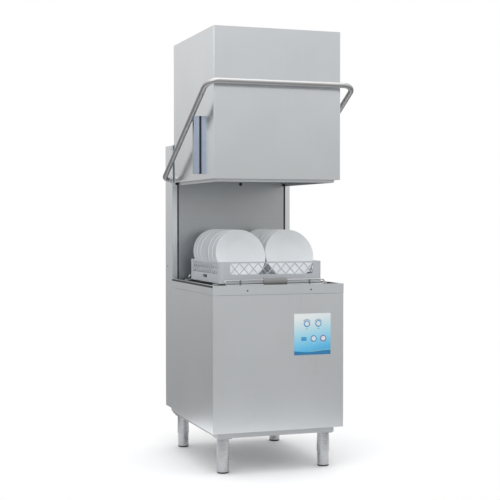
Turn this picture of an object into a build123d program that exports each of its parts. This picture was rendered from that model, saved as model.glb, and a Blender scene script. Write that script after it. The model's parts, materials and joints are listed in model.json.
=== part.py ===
from build123d import *
import os
from math import atan2, cos, degrees, radians, sin

# A hood-type pass-through dishwasher for commercial kitchens.
# Millimetres, +Z up, front towards -Y, +X to the right seen from the front.
# The origin is on the floor under the middle of the whole machine.

# Overall sizes
overall_depth = 870  # handle bar to back of the column
base_width = 638
base_depth = 709
rim_height = 862
hood_width = 617
hood_height = 685
hood_travel = 470
column_width = 632
column_depth = 131
column_rise = 668  # column top above the rim

# Sheet metal
sheet = 1.5
panel_setback = 1  # panels stand this far inside the rim
seam = 1
panel_bottom = 193
panel_return = 57  # the front panel wraps round the corners by this much
fold = 20
skirt_height = 44

# Frame and legs
leg_height = 165
rail_width = 30
rail_height = 40
rail_inset = 35
floor_sheet = 2
post_leg = 35
leg_x = 248
leg_front_inset = 77.5
leg_rear_inset = 86
sleeve_radius = 30
sleeve_flare = 2
sleeve_bottom = 72
leg_flange = 70
leg_flange_thickness = 5
foot_radius = 27
foot_clearance = 0.3
foot_travel_up = 15
foot_round = 6

# Rim deck and tank
rim_width = 12
gutter_depth = 8
tank_opening = 560
tank_floor = 600
tank_corner = 45
tank_flange = 22
sump_radius = 75
sump_depth = 55
sump_offset = 120  # behind the rack centre
filter_height = 700
filter_margin = 6
filter_slot = (6, 46)
filter_slot_pitch = (30, 66)
filter_slot_offset = 14
ledge = 12
overflow_radius = 20
overflow_wall = 2
heater_reach = 160
heater_half_width = 30
heater_bend = 28
heater_radius = 6
heater_rise = 30  # above the tank floor
heater_offset = 170  # in front of the rack centre
manifold_radius = 32

# Rack track
runner_half_width = 12
runner_inset = 22  # inside the rack's edge
runner_gap = 0.3  # runner below the rack
runner_foot = 20
guide_wire = 3
guide_half = 247
guide_height = 22
guide_offset = 292  # either side of the rack centre
guide_lift = 2
clip_x = 170
clip_half = 4
guide_plate_half = 58
guide_plate_height = 36

# Rack and plates
rack_size = 500
rack_height = 100
rack_wall = 5
rack_corner = 22
rack_floor = 10
rack_centre_back = 348.6  # rack centre behind the base front
rack_lift = 2.3  # rack floor above the rim
lattice_from = 42  # open band of the walls, above the rack's underside
lattice_margin = 7  # and below its top
lattice_bar = 3.5
corner_width = 45
floor_bar = 7
hand_slot_half = 34
hand_slot_z = (20, 34)
plate_radius = 122
plate_lean = 17
plate_pitch = 61
plate_x = (-119.5, 125)
first_plate = 149  # in front of the rack centre
plate_slots_left = (0, 1, 2, 4, 5, 6)
plate_slots_right = (0, 1, 2, 3, 5, 6)
plate_foot = 68
plate_depth = 20
plate_skin = 4.5
plate_lift = 4  # plates stand this far above the rack floor
peg_radius = 3
peg_height = 60
peg_back = 3  # pegs behind the plate centres
peg_spread = 60

# Wash and rinse arms
arm_reach = 245
spindle_radius = 8
running_gap = 0.05
face_gap = 0.5
wash_hub_radius = 28
wash_hub_height = 24
rinse_hub_radius = 20
rinse_hub_height = 20
cap_radius = 12
cap_height = 8
upper_pipe_height = 628  # above the rim
riser_radius = 17
rinse_pipe_radius = 7

# Column
hood_gap = 4  # hood back to column front
side_lap = 17.5  # base side panels run this far past the column front
post_width = 25
groove_width = 9
groove_depth = 30
handle_clearance = 0.05
bush_wall = 3
bush_flange = 2.5

# Hood
hood_setback = 19.5
hood_rest_gap = 12  # closed hood above the rim
hood_flange = 28
hood_back_flange = 38
hood_top_flange = 40
lip_inset = 22
lip_drop = 13
lip_thickness = 2
lip_side_gap = 2.5
guide_gap = 0.4
guide_length = 50
guide_tongue = 26
guide_overhang = 12  # the lower guides stand proud of the hood's edge
guide_foot = 2
guide_foot_lap = 8
upper_guide = 125  # upper guide block above the lower one

# Handle and links
handle_open_angle = 29.2
handle_tube = 25
handle_wall = 2
handle_gap = 2.5  # link to handle arm
handle_front_bend = 55
handle_rear_bend = 32
handle_stub = 300  # inner end of the tube stubs, from the centre
pivot_inset = 17  # behind the column front
pivot_rise = 499  # above the rim
link_reach = 454  # link pins in front of the column
link_width = 26
link_depth = 22
link_wall = 2
link_foot = 44  # link pin above the hood's lower edge
link_end = 16
link_gap = 5.5  # hood side to link
pin_radius = 5
boss_radius = 9
strip_thickness = 3
strip_width = 30

# Counterbalance
lever_length = 80
lever_thickness = 6
lever_hub = 15
lever_end = 12
lever_gap = 1
lever_pin_radius = 4
spring_radius = 8
spring_wire = 1.8
spring_pitch = 9
spring_length = 260
spring_hook = 16
spring_shelf = 18

# Controls
panel_width = 180
panel_height = 190
panel_thickness = 3
panel_centre_x = 162
panel_centre_below_rim = 231.5
button_radius = 10.5
button_gap = 0.4
button_proud = 2.5
button_depth = 9
button_places = {
    "button_start": (-28.5, 48.5),
    "button_cycle": (28.5, 48.5),
    "button_drain": (5, -20.5),
    "button_power": (53, -20.5),
}
display_size = (26, 18)
display_place = (-43, -20.5)
display_recess = 0.6
screw_radius = 4
screw_head = 1.2
screw_x = 155
screw_below_rim = 25

# Services under the tank
boiler_radius = 95
boiler_height = 290
boiler_place = (195, 185)
boiler_lift = 14
boiler_foot_radius = 8
boiler_foot_inset = 26
element_radius = 30
element_rise = 60
pump_radius = 70
pump_width = 62
pump_place = (-70, -20)
pump_height = 370
pump_outlet_radius = 20
pump_outlet_rise = 92
pump_outlet_inset = 22  # outlet centre inside the volute's back
pump_inlet_radius = 24
pump_inlet_bore = 19
pump_inlet_length = 26
suction_radius = 22
motor_radius = 58
motor_length = 170
motor_foot_half = (8, 45)
terminal_box = (50, 120, 30)
impeller_radius = 48
impeller_width = 26
impeller_gap = 1.5
shaft_radius = 7
inlet_thread_radius = 13.2
inlet_thread_length = 18
inlet_x = 190
drain_radius = 12
drain_length = 30
drain_collar = 3
drain_body_radius = 36
drain_body_height = 84
drain_hose_radius = 14
drain_x = -200
valve_half = 26
valve_depth = 50
gland_x = 60
gland_plate = (40, 3)
gland_nut = (15, 7)
gland_body = (12, 20)
gland_bore = 6
service_recess = 105  # open height above the floor sheet at the back
service_rise = 48
outlet_setback = 2
electrical_box_size = (150, 95, 270)

# Places worked out from the sizes
column_back = overall_depth / 2
column_front = column_back - column_depth
column_top = rim_height + column_rise
base_back = column_front + side_lap
base_front = base_back - base_depth
hood_front = base_front + hood_setback
hood_back = column_front - hood_gap
hood_bottom = rim_height + hood_rest_gap + hood_travel
hood_top = hood_bottom + hood_height
half_base = base_width / 2
half_panel = half_base - panel_setback
half_hood = hood_width / 2
half_column = column_width / 2
frame_top = leg_height + rail_height
floor_top = frame_top + floor_sheet
skirt_bottom = rim_height - skirt_height
gutter = rim_height - gutter_depth
deck_under = gutter - sheet
rack_y = base_front + rack_centre_back
rack_bottom = rim_height + rack_lift
splash_front = column_front + sheet
groove_outer = half_column - post_width
groove_inner = groove_outer - groove_width
pivot_y = column_front + pivot_inset
pivot_z = rim_height + pivot_rise
bar_y = -overall_depth / 2 + handle_tube / 2
arm_length = (pivot_y - bar_y) / cos(radians(handle_open_angle))
bar_z = pivot_z + arm_length * sin(radians(handle_open_angle))
link_y = column_front - link_reach
link_pin_reach = (pivot_y - link_y) / cos(radians(handle_open_angle))
link_top_z = pivot_z + link_pin_reach * sin(radians(handle_open_angle))
link_low_z = hood_bottom + link_foot
link_x = half_hood + link_gap
handle_x = link_x + link_width + handle_gap + handle_tube / 2
upper_pipe_z = rim_height + upper_pipe_height
sump_y = rack_y + sump_offset
lever_y = pivot_y + lever_length * cos(radians(handle_open_angle))
lever_z = pivot_z - lever_length * sin(radians(handle_open_angle))
spring_low = lever_z - spring_hook - spring_length
shelf_top = spring_low - spring_hook / 2
front_face = base_front + panel_setback
panel_z = rim_height - panel_centre_below_rim
riser_y = (column_front + column_back) / 2 + 4
pump_outlet_y = pump_place[1] + pump_radius - pump_outlet_inset
service_z = floor_top + service_rise
service_top = floor_top + service_recess
outlet_end = column_back - outlet_setback

os.makedirs("parts", exist_ok=True)
MIN_Z = (Align.CENTER, Align.CENTER, Align.MIN)


def save(piece, name):
    piece.part.label = name
    export_step(piece.part, f"parts/{name}.step")


def block(x, y, z, mode=Mode.ADD):
    # a box given by its (low, high) pairs along X, Y and Z
    middle = tuple((low + high) / 2 for low, high in (x, y, z))
    with Locations(middle):
        Box(x[1] - x[0], y[1] - y[0], z[1] - z[0], mode=mode)


def rod(start, end, radius, mode=Mode.ADD):
    # a round bar between two points
    axis = Vector(*end) - Vector(*start)
    with BuildSketch(Plane(origin=start, z_dir=axis)) as section:
        Circle(radius)
    extrude(section.sketch, amount=axis.length, mode=mode)


def tube(points, radius, bends, bore=0):
    # a round tube along straight runs joined by tangent bends
    with BuildLine() as path:
        FilletPolyline(*points, radius=bends)
    with BuildSketch(Plane(origin=path.line @ 0, z_dir=path.line % 0)) as section:
        Circle(radius)
        if bore:
            Circle(bore, mode=Mode.SUBTRACT)
    sweep(section.sketch, path=path.line)


def side_name(side):
    return "left" if side < 0 else "right"


def span(side, inner, outer):
    # the (low, high) pair along X of something on one side of the machine
    return (inner, outer) if side > 0 else (-outer, -inner)


# ---- base frame, legs and feet ----
frame_x = half_base - rail_inset
frame_front = base_front + rail_inset
frame_back = column_back - rail_inset / 2
leg_front_y = base_front + leg_front_inset
leg_rear_y = column_back - leg_rear_inset
leg_places = {
    "front_left": (-leg_x, leg_front_y),
    "front_right": (leg_x, leg_front_y),
    "rear_left": (-leg_x, leg_rear_y),
    "rear_right": (leg_x, leg_rear_y),
}

with BuildPart() as base_frame:
    inner_x = frame_x - rail_width
    for side in (-1, 1):
        block(span(side, inner_x, frame_x), (frame_front, frame_back), (leg_height, frame_top))
    block((-inner_x, inner_x), (frame_front, frame_front + rail_width), (leg_height, frame_top))
    block((-inner_x, inner_x), (frame_back - rail_width, frame_back), (leg_height, frame_top))
    floor_x = half_panel - sheet
    block((-floor_x, floor_x), (front_face + sheet, column_back - sheet), (frame_top, floor_top))
save(base_frame, "base_frame")

with BuildPart() as leg_sleeves:
    for x, y in leg_places.values():
        with BuildSketch(Plane.XY.offset(leg_height - leg_flange_thickness)):
            with Locations((x, y)):
                RectangleRounded(leg_flange, leg_flange, 6)
        extrude(amount=leg_flange_thickness)
        with BuildSketch(Plane.XY.offset(sleeve_bottom)):
            with Locations((x, y)):
                Circle(sleeve_radius)
        with BuildSketch(Plane.XY.offset(leg_height - leg_flange_thickness)):
            with Locations((x, y)):
                Circle(sleeve_radius - sleeve_flare)
        loft()
        with Locations((x, y, sleeve_bottom)):
            Cylinder(
                foot_radius + foot_clearance,
                leg_height - sleeve_bottom - leg_flange_thickness,
                align=MIN_Z,
                mode=Mode.SUBTRACT,
            )
save(leg_sleeves, "leg_sleeves")

for place, (x, y) in leg_places.items():
    foot_top = leg_height - leg_flange_thickness - foot_travel_up - face_gap
    with BuildPart() as foot:
        with BuildSketch():
            with Locations((x, y)):
                Circle(foot_radius)
        extrude(amount=foot_top)
        fillet(foot.edges().group_by(Axis.Z)[0], foot_round)
    save(foot, f"foot_{place}")

with BuildPart() as corner_posts:
    for side in (-1, 1):
        outer = half_panel - sheet
        front_low = front_face + sheet
        rear_high = column_front - seam
        for low, web_low in ((front_low, front_low), (rear_high - post_leg, rear_high - sheet)):
            block(span(side, outer - sheet, outer), (low, low + post_leg), (floor_top, deck_under))
            block(span(side, outer - post_leg, outer), (web_low, web_low + sheet), (floor_top, deck_under))
save(corner_posts, "corner_posts")


# ---- base panels ----
for side in (-1, 1):
    panel_front = front_face + panel_return + seam
    with BuildPart() as side_panel:
        along = (panel_front, base_back)
        block(span(side, half_panel - sheet, half_panel), along, (panel_bottom, skirt_bottom - seam))
        block(span(side, half_panel - fold, half_panel), along, (panel_bottom, panel_bottom + sheet))
    save(side_panel, f"side_panel_{side_name(side)}")

with BuildPart() as front_panel:
    back = front_face + panel_return
    low, high = panel_bottom, skirt_bottom - seam
    block((-half_panel, half_panel), (front_face, back), (low, high))
    inner_x = half_panel - sheet
    block((-inner_x, inner_x), (front_face + sheet, back), (low + sheet, high), mode=Mode.SUBTRACT)
    window = (panel_width - 2 * fold, panel_height - 2 * fold)
    block(
        (panel_centre_x - window[0] / 2, panel_centre_x + window[0] / 2),
        (front_face, front_face + sheet),
        (panel_z - window[1] / 2, panel_z + window[1] / 2),
        mode=Mode.SUBTRACT,
    )
    fold_x = half_panel - fold
    block((-fold_x, fold_x), (front_face + fold, back), (low, low + sheet), mode=Mode.SUBTRACT)
    fillet(front_panel.edges().filter_by(Axis.Z).group_by(Axis.Y)[0].sort_by(Axis.X)[0:1], sheet)
    fillet(front_panel.edges().filter_by(Axis.Z).group_by(Axis.Y)[0].sort_by(Axis.X)[-1:], sheet)
save(front_panel, "front_panel")

with BuildPart() as rim_deck:
    deck_back = column_front - seam
    block((-half_base, half_base), (base_front, deck_back), (skirt_bottom, rim_height))
    fillet(rim_deck.edges().filter_by(Axis.Z).group_by(Axis.Y)[0], 2 * sheet)
    block(
        (-half_base + sheet, half_base - sheet),
        (base_front + sheet, deck_back),
        (skirt_bottom, deck_under),
        mode=Mode.SUBTRACT,
    )
    block(
        (-half_base + rim_width, half_base - rim_width),
        (base_front + rim_width, deck_back),
        (gutter, rim_height),
        mode=Mode.SUBTRACT,
    )
    # the rim is a hollow fold, closed along its inner side
    for low_x, high_x, low_y, high_y in (
        (-half_base + sheet, -half_base + rim_width - sheet, base_front + sheet, deck_back),
        (half_base - rim_width + sheet, half_base - sheet, base_front + sheet, deck_back),
        (-half_base + sheet, half_base - sheet, base_front + sheet, base_front + rim_width - sheet),
    ):
        block((low_x, high_x), (low_y, high_y), (deck_under, rim_height - sheet), mode=Mode.SUBTRACT)
    with BuildSketch(Plane.XY.offset(deck_under)):
        with Locations((0, rack_y)):
            RectangleRounded(tank_opening, tank_opening, tank_corner)
    extrude(amount=sheet, mode=Mode.SUBTRACT)
save(rim_deck, "rim_deck")

with BuildPart() as wash_tank:
    with BuildSketch(Plane.XY.offset(deck_under - sheet)):
        with Locations((0, rack_y)):
            RectangleRounded(tank_opening + 2 * tank_flange, tank_opening + 2 * tank_flange, tank_corner)
    extrude(amount=sheet)
    with BuildSketch(Plane.XY.offset(tank_floor)):
        with Locations((0, rack_y)):
            RectangleRounded(tank_opening + 2 * sheet, tank_opening + 2 * sheet, tank_corner + sheet)
    extrude(amount=deck_under - sheet - tank_floor)
    with Locations((0, sump_y, tank_floor)):
        Cylinder(sump_radius + sheet, sump_depth, align=(Align.CENTER, Align.CENTER, Align.MAX))
    with BuildSketch(Plane.XY.offset(tank_floor + sheet)):
        with Locations((0, rack_y)):
            RectangleRounded(tank_opening, tank_opening, tank_corner)
    extrude(amount=deck_under - tank_floor, mode=Mode.SUBTRACT)
    with Locations((0, sump_y, tank_floor + sheet)):
        Cylinder(sump_radius, sump_depth, align=(Align.CENTER, Align.CENTER, Align.MAX), mode=Mode.SUBTRACT)
    # ledges that carry the strainer plates
    half_tank = tank_opening / 2
    for side in (-1, 1):
        block(
            span(side, half_tank - ledge, half_tank),
            (rack_y - half_tank + tank_corner, rack_y + half_tank - tank_corner),
            (filter_height - sheet, filter_height),
        )
save(wash_tank, "wash_tank")

with BuildPart() as tank_filters:
    plate_wide = tank_opening / 2 - filter_margin - face_gap
    plate_long = tank_opening - 2 * tank_corner
    for side in (-1, 1):
        middle = side * (plate_wide / 2 + face_gap)
        with BuildSketch(Plane.XY.offset(filter_height)) as strainer:
            with Locations((middle, rack_y)):
                Rectangle(plate_wide, plate_long)
            with Locations((middle + side * filter_slot_offset, rack_y)):
                with GridLocations(*filter_slot_pitch, 6, 4):
                    Rectangle(*filter_slot, mode=Mode.SUBTRACT)
            with Locations((0, rack_y)):
                Circle(manifold_radius + 1, mode=Mode.SUBTRACT)
        extrude(amount=sheet)
save(tank_filters, "tank_filters")

overflow_x = tank_opening / 2 - tank_corner - overflow_radius
overflow_height = filter_height - tank_floor - overflow_radius
with BuildPart() as overflow_pipe:
    with Locations((overflow_x, rack_y + overflow_x, tank_floor + sheet)):
        Cylinder(overflow_radius, overflow_height, align=MIN_Z)
        Cylinder(overflow_radius - overflow_wall, overflow_height, align=MIN_Z, mode=Mode.SUBTRACT)
save(overflow_pipe, "overflow_pipe")

with BuildPart() as tank_heater:
    heater_z = tank_floor + heater_rise
    heater_front = rack_y - heater_offset - heater_half_width
    heater_back = rack_y - heater_offset + heater_half_width
    tube(
        [
            (-heater_reach, heater_front, heater_z),
            (heater_reach, heater_front, heater_z),
            (heater_reach, heater_back, heater_z),
            (-heater_reach, heater_back, heater_z),
        ],
        heater_radius,
        heater_bend,
    )
    for y in (heater_front, heater_back):
        rod((-heater_reach, y, heater_z), (-heater_reach, y, tank_floor + sheet), heater_radius)
        with Locations((-heater_reach, y, heater_z)):
            Sphere(heater_radius)
save(tank_heater, "tank_heater")


# ---- rack track ----
run = half_hood - lip_inset - lip_thickness - lip_side_gap
runner_top = rack_bottom - runner_gap
runner_places = []
for side in (-1, 1):
    middle = rack_y + side * (rack_size / 2 - runner_inset)
    runner_places.append((middle - runner_half_width, middle + runner_half_width))

with BuildPart() as rack_runners:
    for across in runner_places:
        block((-run, run), across, (runner_top - sheet, runner_top))
save(rack_runners, "rack_runners")

with BuildPart() as guide_rails:
    for side in (-1, 1):
        rail_y = rack_y + side * guide_offset
        clip_front = rail_y - guide_wire - guide_lift
        clip_back = rail_y + guide_wire + guide_lift
        rail_middle = (0, rail_y, gutter + guide_lift + guide_height / 2)
        rail_plane = Plane(origin=rail_middle, x_dir=(1, 0, 0), z_dir=(0, -1, 0))
        with BuildSketch(rail_plane):
            SlotOverall(2 * guide_half, guide_height)
            SlotOverall(2 * guide_half - 4 * guide_wire, guide_height - 4 * guide_wire, mode=Mode.SUBTRACT)
        extrude(amount=guide_wire, both=True)
        clip_z = (gutter, gutter + guide_height + 2 * guide_lift)
        for clip in (-clip_x, clip_x):
            block((clip - clip_half, clip + clip_half), (clip_front, clip_back), clip_z)
        plate_z = (gutter + guide_lift, gutter + guide_lift + guide_plate_height)
        block((-guide_plate_half, guide_plate_half), (clip_front, clip_front + guide_lift), plate_z)
    # four feet under the runners' ends
    for across in runner_places:
        for end in (-1, 1):
            block(span(end, run - runner_foot, run), across, (gutter, runner_top - sheet))
save(guide_rails, "guide_rails")


# ---- spray arms and their manifolds ----
low_shoulder = tank_floor + 180
low_wash_z = low_shoulder + face_gap
low_rinse_z = low_wash_z + wash_hub_height + face_gap
low_cap_z = low_rinse_z + rinse_hub_height + face_gap
up_shoulder = upper_pipe_z - riser_radius - 6
up_wash_z = up_shoulder - face_gap - wash_hub_height
up_rinse_z = up_wash_z - face_gap - rinse_hub_height
up_cap_z = up_rinse_z - face_gap - cap_height
with BuildPart() as lower_manifold:
    with Locations((0, rack_y, tank_floor + sheet)):
        Cylinder(manifold_radius, low_shoulder - tank_floor - sheet, align=MIN_Z)
    with Locations((0, rack_y, low_shoulder)):
        Cylinder(spindle_radius, low_cap_z - low_shoulder, align=MIN_Z)
    with Locations((0, rack_y, low_cap_z)):
        Cylinder(cap_radius, cap_height, align=MIN_Z)
    fillet(lower_manifold.edges().group_by(Axis.Z)[-1], 2)
    # suction windows round the foot
    with Locations((0, rack_y, tank_floor + sheet)):
        with PolarLocations(manifold_radius, 6):
            Box(12, 16, 40, align=MIN_Z, mode=Mode.SUBTRACT)
save(lower_manifold, "lower_manifold")

with BuildPart() as upper_manifold:
    rod((0, splash_front + 6 * sheet, upper_pipe_z), (0, rack_y, upper_pipe_z), riser_radius)
    with Locations((0, rack_y, up_shoulder)):
        Cylinder(manifold_radius, 2 * riser_radius + 12, align=MIN_Z)
    fillet(upper_manifold.edges().group_by(Axis.Z)[-1], 4)
    rod((0, splash_front, upper_pipe_z), (0, splash_front - 4, upper_pipe_z), riser_radius + 14)
    with Locations((0, rack_y, up_cap_z)):
        Cylinder(spindle_radius, up_shoulder - up_cap_z, align=MIN_Z)
        Cylinder(cap_radius, cap_height, align=MIN_Z)
save(upper_manifold, "upper_manifold")


def spray_arm(hub_z, hub_radius, hub_height, half_width, thickness, nozzles, up):
    # a turning arm with two limbs, a bored hub and a row of nozzles on one face
    with BuildPart() as arm:
        middle = hub_z + hub_height / 2
        with BuildSketch(Plane.XY.offset(middle - thickness / 2)) as limbs:
            with Locations((0, rack_y)):
                SlotOverall(2 * arm_reach, 2 * half_width)
        extrude(amount=thickness)
        fillet(arm.edges().group_by(Axis.Z)[-1] + arm.edges().group_by(Axis.Z)[0], thickness * 0.3)
        with Locations((0, rack_y, hub_z)):
            Cylinder(hub_radius, hub_height, align=MIN_Z)
        with Locations((0, rack_y, hub_z)):
            Cylinder(spindle_radius + running_gap, hub_height, align=MIN_Z, mode=Mode.SUBTRACT)
        face = middle + (thickness / 2 if up else -thickness / 2)
        for side in (-1, 1):
            for place in range(nozzles):
                x = side * (arm_reach - half_width - place * (arm_reach - 2 * hub_radius) / nozzles)
                low = face if up else face - 2
                nozzle_y = (rack_y - half_width * 0.55, rack_y + half_width * 0.55)
                block((x - 3, x + 3), nozzle_y, (low, low + 2))
    return arm


save(spray_arm(low_wash_z, wash_hub_radius, wash_hub_height, 20, 14, 5, True), "lower_wash_arm")
save(spray_arm(low_rinse_z, rinse_hub_radius, rinse_hub_height, 7, 9, 4, True), "lower_rinse_arm")
save(spray_arm(up_wash_z, wash_hub_radius, wash_hub_height, 20, 14, 5, False), "upper_wash_arm")
save(spray_arm(up_rinse_z, rinse_hub_radius, rinse_hub_height, 7, 9, 4, False), "upper_rinse_arm")


# ---- pump, boiler and pipework ----
pump_x, pump_y = pump_place
volute_low = pump_x - pump_width / 2
volute_high = pump_x + pump_width / 2
with BuildPart() as wash_pump:
    rod((volute_low, pump_y, pump_height), (volute_high, pump_y, pump_height), pump_radius)
    fillet(wash_pump.edges().group_by(Axis.X)[0], 8)
    outlet_root = (pump_x, pump_outlet_y, pump_height)
    outlet_face = (pump_x, pump_outlet_y, pump_height + pump_outlet_rise)
    rod(outlet_root, outlet_face, pump_outlet_radius)
    inlet_face = (volute_low - pump_inlet_length, pump_y, pump_height)
    rod(inlet_face, (volute_low, pump_y, pump_height), pump_inlet_radius)
    rod(
        (pump_x - impeller_width / 2 - impeller_gap, pump_y, pump_height),
        (pump_x + impeller_width / 2 + impeller_gap, pump_y, pump_height),
        impeller_radius + impeller_gap,
        mode=Mode.SUBTRACT,
    )
    rod(inlet_face, (pump_x, pump_y, pump_height), pump_inlet_bore, mode=Mode.SUBTRACT)
    rod(
        (pump_x, pump_y, pump_height),
        (volute_high, pump_y, pump_height),
        shaft_radius + running_gap,
        mode=Mode.SUBTRACT,
    )
save(wash_pump, "wash_pump")

with BuildPart() as pump_impeller:
    low = pump_x - impeller_width / 2
    high = pump_x + impeller_width / 2
    rod((low, pump_y, pump_height), (high, pump_y, pump_height), 14)
    rod((high - 3, pump_y, pump_height), (high, pump_y, pump_height), impeller_radius)
    rod((high, pump_y, pump_height), (volute_high + 20, pump_y, pump_height), shaft_radius)
    hub_plane = Plane(origin=(low, pump_y, pump_height), x_dir=(0, 1, 0), z_dir=(1, 0, 0))
    with BuildSketch(hub_plane):
        with PolarLocations(impeller_radius / 2 + 5, 6):
            Rectangle(impeller_radius - 12, 3)
    extrude(amount=impeller_width - 3)
save(pump_impeller, "pump_impeller")

with BuildPart() as pump_motor:
    motor_end = volute_high + motor_length
    rod((volute_high, pump_y, pump_height), (motor_end, pump_y, pump_height), motor_radius)
    fillet(pump_motor.edges().group_by(Axis.X)[-1], 10)
    box_from, box_to, box_half = terminal_box
    block(
        (volute_high + box_from, volute_high + box_to),
        (pump_y - box_half, pump_y + box_half),
        (pump_height + motor_radius - 6, pump_height + motor_radius + 26),
    )
    half_x, half_y = motor_foot_half
    for x in (volute_high + 25, motor_end - 35):
        foot_z = (floor_top, pump_height - motor_radius + 12)
        block((x - half_x, x + half_x), (pump_y - half_y, pump_y + half_y), foot_z)
    rod(
        (volute_high, pump_y, pump_height),
        (volute_high + 24, pump_y, pump_height),
        shaft_radius + running_gap,
        mode=Mode.SUBTRACT,
    )
save(pump_motor, "pump_motor")

with BuildPart() as suction_hose:
    tube(
        [
            (0, sump_y, tank_floor - sump_depth),
            (0, sump_y, pump_height + 60),
            (inlet_face[0] - 50, sump_y, pump_height + 60),
            (inlet_face[0] - 50, pump_y, pump_height),
            inlet_face,
        ],
        suction_radius,
        [30, 30, 22],
    )
save(suction_hose, "suction_hose")

with BuildPart() as riser_pipe:
    riser_bend_z = pump_height + pump_outlet_rise + 38
    tube(
        [
            outlet_face,
            (pump_x, pump_outlet_y, riser_bend_z),
            (0, riser_y, riser_bend_z),
            (0, riser_y, upper_pipe_z),
            (0, splash_front + 6 * sheet, upper_pipe_z),
        ],
        riser_radius,
        [26, 40, 26],
    )
save(riser_pipe, "riser_pipe")

boiler_x, boiler_y = boiler_place
boiler_low = floor_top + boiler_lift
boiler_top = boiler_low + boiler_height
with BuildPart() as rinse_boiler:
    with Locations((boiler_x, boiler_y, boiler_low)):
        Cylinder(boiler_radius, boiler_height, align=MIN_Z)
    fillet(rinse_boiler.edges().group_by(Axis.Z)[-1], 22)
    fillet(rinse_boiler.edges().group_by(Axis.Z)[0], 10)
    with Locations((boiler_x, boiler_y, floor_top)):
        with PolarLocations(boiler_radius - boiler_foot_inset, 3):
            Cylinder(boiler_foot_radius, boiler_lift + 4, align=MIN_Z)
    element_z = boiler_low + element_rise
    element_root = (boiler_x, boiler_y - boiler_radius + 12, element_z)
    rod(element_root, (boiler_x, boiler_y - boiler_radius - 14, element_z), element_radius)
save(rinse_boiler, "rinse_boiler")

with BuildPart() as rinse_pipe:
    rinse_x = 60
    rinse_bend_z = boiler_top + 40
    rinse_top = upper_pipe_z - 70
    tube(
        [
            (boiler_x, boiler_y, boiler_top),
            (boiler_x, boiler_y, rinse_bend_z),
            (rinse_x, riser_y, rinse_bend_z),
            (rinse_x, riser_y, rinse_top),
            (rinse_x, splash_front + 6 * sheet, rinse_top),
        ],
        rinse_pipe_radius,
        [18, 30, 18],
    )
save(rinse_pipe, "rinse_pipe")

# The services leave through an open recess below the back cover.
with BuildPart() as drain_pump:
    drain_y = outlet_end - drain_length - drain_body_radius
    with Locations((drain_x, drain_y, floor_top)):
        Cylinder(drain_body_radius, drain_body_height, align=MIN_Z)
    fillet(drain_pump.edges().group_by(Axis.Z)[-1], 8)
    drain_middle = (drain_x, drain_y, service_z)
    rod(drain_middle, (drain_x, outlet_end, service_z), drain_radius)
    rod(drain_middle, (drain_x, outlet_end - drain_length, service_z), drain_radius + drain_collar)
    rod(drain_middle, (drain_x, drain_y - 70, service_z), drain_hose_radius)
save(drain_pump, "drain_pump")

with BuildPart() as inlet_valve:
    valve_back = outlet_end - inlet_thread_length
    valve_x = (inlet_x - valve_half, inlet_x + valve_half)
    valve_z = (service_z - valve_half, service_z + valve_half)
    block(valve_x, (valve_back - valve_depth, valve_back), valve_z)
    with Locations((inlet_x, valve_back - valve_depth / 2, service_z + valve_half)):
        Cylinder(18, 30, align=MIN_Z)
    rod((inlet_x, valve_back, service_z), (inlet_x, outlet_end, service_z), inlet_thread_radius)
    foot_z = (floor_top, service_z - valve_half)
    block((inlet_x - 30, inlet_x + 30), (valve_back - 40, valve_back - 10), foot_z)
save(inlet_valve, "inlet_valve")

with BuildPart() as cable_gland:
    plate_half, plate_thickness = gland_plate
    nut_radius, nut_length = gland_nut
    body_radius, body_length = gland_body
    gland_y = outlet_end - 24
    gland_tip = (gland_x, gland_y + body_length, service_z)
    gland_back = (gland_x, gland_y - plate_thickness, service_z)
    gland_span = (gland_x - plate_half, gland_x + plate_half)
    block(gland_span, (gland_y - plate_thickness, gland_y), (floor_top, service_top - 12))
    rod((gland_x, gland_y, service_z), (gland_x, gland_y + nut_length, service_z), nut_radius)
    rod((gland_x, gland_y + nut_length, service_z), gland_tip, body_radius)
    rod(gland_back, gland_tip, gland_bore, mode=Mode.SUBTRACT)
save(cable_gland, "cable_gland")

with BuildPart() as electrical_box:
    box_width, box_depth, box_height = electrical_box_size
    box_x = (-half_panel + post_leg + 15, -half_panel + post_leg + 15 + box_width)
    box_y = (front_face + 40, front_face + 40 + box_depth)
    box_z = (floor_top, floor_top + box_height)
    block(box_x, box_y, box_z)
    fillet(electrical_box.edges().filter_by(Axis.Z), 6)
    block((box_x[0] + 8, box_x[1] - 8), (box_y[0] - 4, box_y[0]), (box_z[0] + 8, box_z[1] - 8))
save(electrical_box, "electrical_box")


# ---- controls ----
with BuildPart() as control_panel:
    panel_plane = Plane(origin=(panel_centre_x, front_face, panel_z), x_dir=(1, 0, 0), z_dir=(0, -1, 0))
    with BuildSketch(panel_plane):
        RectangleRounded(panel_width, panel_height, 3)
        with Locations(*button_places.values()):
            Circle(button_radius + button_gap, mode=Mode.SUBTRACT)
        with Locations(display_place):
            Rectangle(*display_size, mode=Mode.SUBTRACT)
    extrude(amount=panel_thickness)
save(control_panel, "control_panel")

with BuildPart() as display_window:
    with BuildSketch(panel_plane):
        with Locations(display_place):
            Rectangle(*display_size)
    extrude(amount=panel_thickness - display_recess)
save(display_window, "display_window")

for name, place in button_places.items():
    with BuildPart() as button:
        with BuildSketch(panel_plane.offset(panel_thickness + button_proud)):
            with Locations(place):
                Circle(button_radius)
        extrude(amount=-(button_depth + button_proud))
        fillet(button.edges().group_by(Axis.Y)[0], 1.2)
    save(button, name)

with BuildPart() as cover_screws:
    for side in (-1, 1):
        x, z = side * screw_x, rim_height - screw_below_rim
        rod((x, base_front - screw_head, z), (x, base_front, z), screw_radius)
        column_face = side * half_column
        for y, z in ((column_front + 20, column_top - 16), (column_back - 40, rim_height + 60)):
            rod((column_face, y, z), (column_face + side * screw_head, y, z), screw_radius)
save(cover_screws, "cover_screws")


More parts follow.
